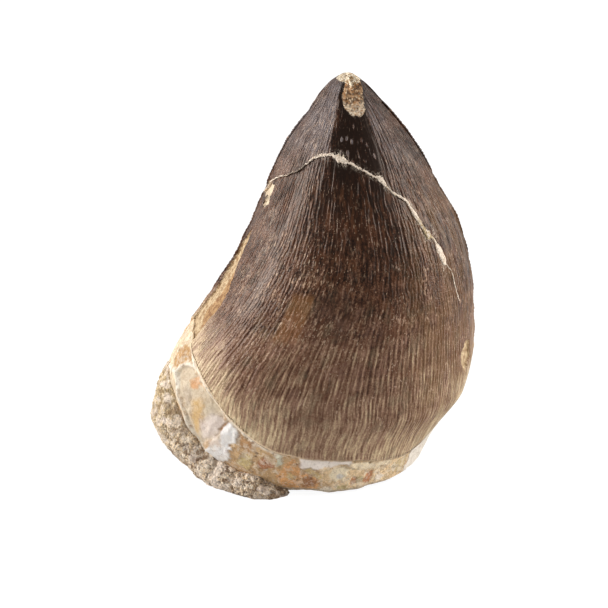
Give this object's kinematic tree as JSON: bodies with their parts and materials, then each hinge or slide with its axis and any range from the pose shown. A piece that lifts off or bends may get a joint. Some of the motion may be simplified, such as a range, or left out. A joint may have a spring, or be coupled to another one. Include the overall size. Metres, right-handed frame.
{
  "type": "fossil mosasaur tooth",
  "caption": "Broad, gently hooked fossil reptile tooth crown with ribbed enamel on its broken root, with a crust of sandstone on its lower left side.",
  "frame": {"origin": "on the surface that the specimen stands on, under the middle of its bounding box", "axes": "+Z from the root's broken end up to the crown's tip, +X across the tooth from the cutting edge above the sandstone crust to the plain one, -Y out of the fuller face"},
  "size_m": [0.0402, 0.0278, 0.0487],
  "materials": {
    "enamel": "satin dark brown fossil enamel, finely ribbed lengthwise",
    "dentine": "matt ivory to orange-tan fossil dentine and bone, with chalky white patches",
    "sandstone": "dry granular pale tan phosphatic sandstone"
  },
  "bodies": {
    "root": {"tooth": "enamel", "matrix_crust": "sandstone"}
  },
  "joints": []
}
